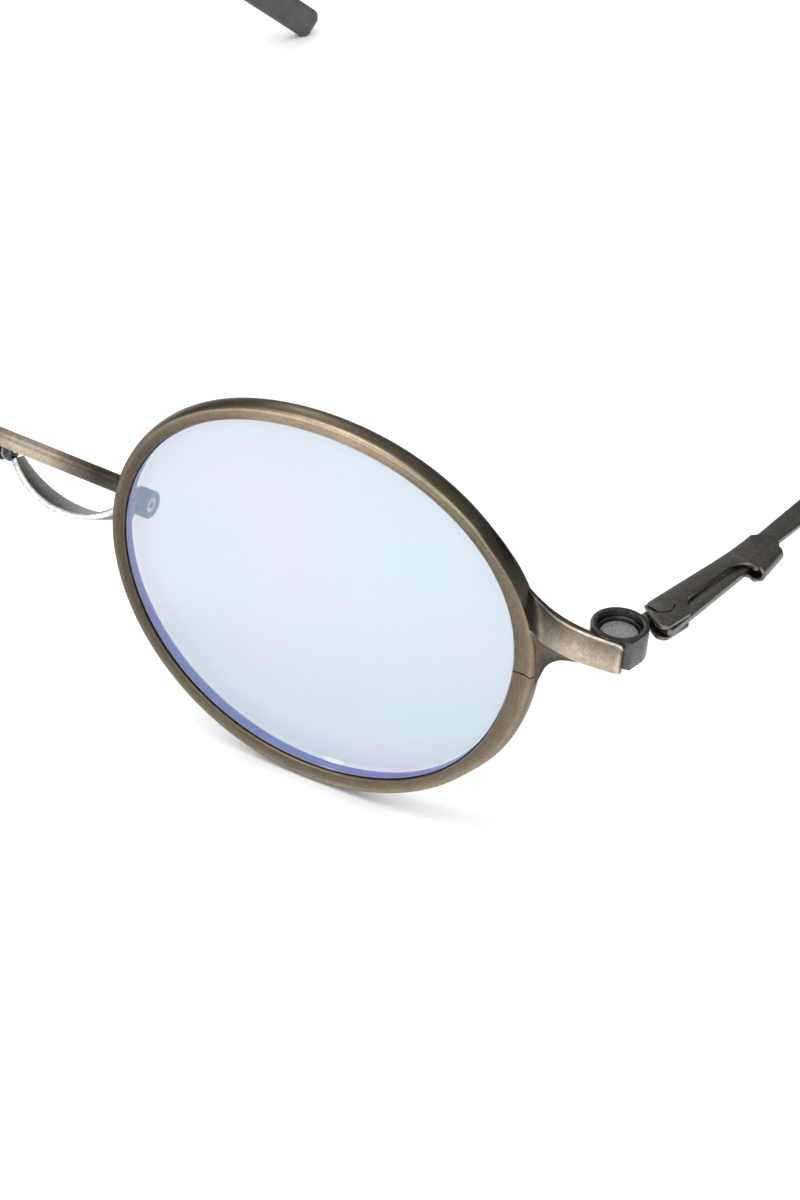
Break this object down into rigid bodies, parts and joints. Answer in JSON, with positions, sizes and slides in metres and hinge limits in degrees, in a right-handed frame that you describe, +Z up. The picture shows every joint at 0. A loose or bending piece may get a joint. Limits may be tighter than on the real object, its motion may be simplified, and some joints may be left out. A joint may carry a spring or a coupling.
{
  "type": "eyeglasses",
  "caption": "Round metal glasses with a blue-light tinted lens, a bar bridge over a sprung nose saddle, magnet cups at the end pieces and folding sheet-metal temples.",
  "frame": {"origin": "centre of the footprint of the open glasses, on the surface that they stand on", "axes": "+X to the wearer's left, +Y from the lenses back along the temples, +Z up"},
  "size_m": [0.143, 0.1488, 0.0441],
  "materials": {
    "pewter": "antique pewter plating, satin brushed",
    "gunmetal": "dark gunmetal plating, satin",
    "bright_steel": "bare bright steel",
    "saddle_steel": "bare spring steel, frosted edges",
    "magnet_steel": "dull grey nickel, grainy",
    "temple_tip": "dark grey matte sleeve",
    "tinted_lens": "clear lens with a blue-violet anti-reflection coating"
  },
  "bodies": {
    "front": {"left_rim": "pewter", "left_lens": "tinted_lens", "left_closing_block_upper": "pewter", "left_closing_block_lower": "pewter", "left_closing_screw": "bright_steel", "left_saddle_barrel": "gunmetal", "left_saddle_washer": "bright_steel", "left_saddle_screw": "bright_steel", "left_saddle_post": "pewter", "left_magnet_cup": "gunmetal", "left_cup_liner": "gunmetal", "left_cup_magnet": "magnet_steel", "left_hinge_tongue": "gunmetal", "right_rim": "pewter", "right_lens": "tinted_lens", "right_closing_block_upper": "pewter", "right_closing_block_lower": "pewter", "right_closing_screw": "bright_steel", "right_saddle_barrel": "gunmetal", "right_saddle_washer": "bright_steel", "right_saddle_screw": "bright_steel", "right_saddle_post": "pewter", "right_magnet_cup": "gunmetal", "right_cup_liner": "gunmetal", "right_cup_magnet": "magnet_steel", "right_hinge_tongue": "gunmetal", "bridge_bar": "pewter", "nose_saddle": "saddle_steel"},
    "left_temple": {"left_hinge_clip": "gunmetal", "left_hinge_pin": "gunmetal", "left_temple_band": "gunmetal", "left_temple_tip": "temple_tip"},
    "right_temple": {"right_hinge_clip": "gunmetal", "right_hinge_pin": "gunmetal", "right_temple_band": "gunmetal", "right_temple_tip": "temple_tip"}
  },
  "joints": [
    {"name": "left_temple_fold", "type": "hinge", "parent": "front", "child": "left_temple", "pos_m": [0.06573, -0.06141, 0.0283], "axis": [0, 0, 1], "range_deg": [0, 88]},
    {"name": "right_temple_fold", "type": "hinge", "parent": "front", "child": "right_temple", "pos_m": [-0.06573, -0.06141, 0.0283], "axis": [0, 0, -1], "range_deg": [0, 80]}
  ]
}
